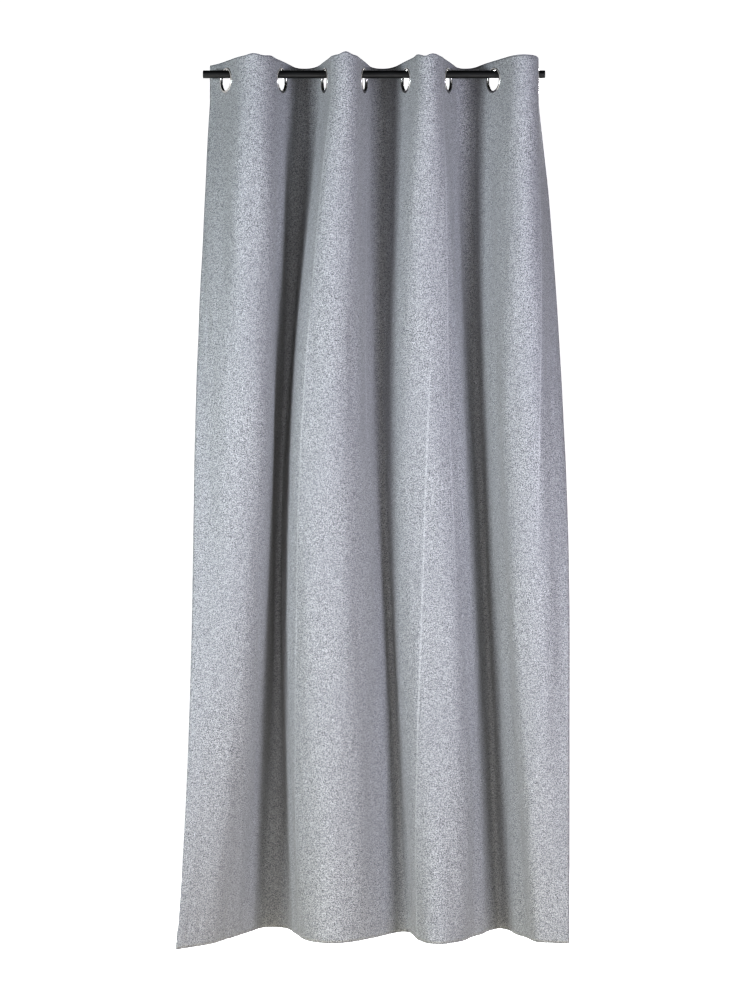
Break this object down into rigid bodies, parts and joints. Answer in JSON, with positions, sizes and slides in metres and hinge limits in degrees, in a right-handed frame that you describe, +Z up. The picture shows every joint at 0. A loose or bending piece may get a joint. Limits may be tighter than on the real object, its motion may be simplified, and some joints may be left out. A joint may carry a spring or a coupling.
{
  "type": "eyelet curtain panel on a rod",
  "caption": "Fabric room curtain panel with an eyelet header, threaded on a thin black rod, hanging in soft vertical folds.",
  "frame": {"origin": "on the rod's axis, at the middle of its length", "axes": "+X along the rod, to the right as seen from the room; -Y towards the room; +Z up"},
  "size_m": [0.7947, 0.2515, 1.8],
  "materials": {
    "rod_paint": "satin black paint on a steel tube",
    "cloth": "dense grey melange weave, matt",
    "stiffening": "non-woven header stiffening, off-white",
    "eyelet_metal": "bright nickel plate"
  },
  "bodies": {
    "rod_and_cloth": {"rod": "rod_paint", "face_cloth": "cloth", "header_facing": "cloth", "header_stiffener": "stiffening", "left_side_hem": "cloth", "right_side_hem": "cloth", "bottom_hem": "cloth", "eyelet_8_front": "eyelet_metal", "eyelet_8_back": "eyelet_metal"},
    "eyelet_1": {"eyelet_1_front": "eyelet_metal", "eyelet_1_back": "eyelet_metal"},
    "eyelet_2": {"eyelet_2_front": "eyelet_metal", "eyelet_2_back": "eyelet_metal"},
    "eyelet_3": {"eyelet_3_front": "eyelet_metal", "eyelet_3_back": "eyelet_metal"},
    "eyelet_4": {"eyelet_4_front": "eyelet_metal", "eyelet_4_back": "eyelet_metal"},
    "eyelet_5": {"eyelet_5_front": "eyelet_metal", "eyelet_5_back": "eyelet_metal"},
    "eyelet_6": {"eyelet_6_front": "eyelet_metal", "eyelet_6_back": "eyelet_metal"},
    "eyelet_7": {"eyelet_7_front": "eyelet_metal", "eyelet_7_back": "eyelet_metal"}
  },
  "joints": [
    {"name": "draw", "type": "slide", "parent": "rod_and_cloth", "child": "eyelet_1", "axis": [1, 0, 0], "range_m": [0, 0.25], "deforming": ["face_cloth", "header_facing", "header_stiffener", "left_side_hem", "right_side_hem", "bottom_hem"]},
    {"name": "draw_eyelet_2", "type": "slide", "parent": "rod_and_cloth", "child": "eyelet_2", "axis": [1, 0, 0], "range_m": [0, 0.20668]},
    {"name": "draw_eyelet_3", "type": "slide", "parent": "rod_and_cloth", "child": "eyelet_3", "axis": [1, 0, 0], "range_m": [0, 0.17108]},
    {"name": "draw_eyelet_4", "type": "slide", "parent": "rod_and_cloth", "child": "eyelet_4", "axis": [1, 0, 0], "range_m": [0, 0.14056]},
    {"name": "draw_eyelet_5", "type": "slide", "parent": "rod_and_cloth", "child": "eyelet_5", "axis": [1, 0, 0], "range_m": [0, 0.10574]},
    {"name": "draw_eyelet_6", "type": "slide", "parent": "rod_and_cloth", "child": "eyelet_6", "axis": [1, 0, 0], "range_m": [0, 0.07288]},
    {"name": "draw_eyelet_7", "type": "slide", "parent": "rod_and_cloth", "child": "eyelet_7", "axis": [1, 0, 0], "range_m": [0, 0.03532]}
  ],
  "couplings": [
    {"joint": "draw_eyelet_2", "follows": "draw", "ratio": 0.82473},
    {"joint": "draw_eyelet_3", "follows": "draw", "ratio": 0.68232},
    {"joint": "draw_eyelet_4", "follows": "draw", "ratio": 0.56025},
    {"joint": "draw_eyelet_5", "follows": "draw", "ratio": 0.42097},
    {"joint": "draw_eyelet_6", "follows": "draw", "ratio": 0.28952},
    {"joint": "draw_eyelet_7", "follows": "draw", "ratio": 0.13928}
  ]
}
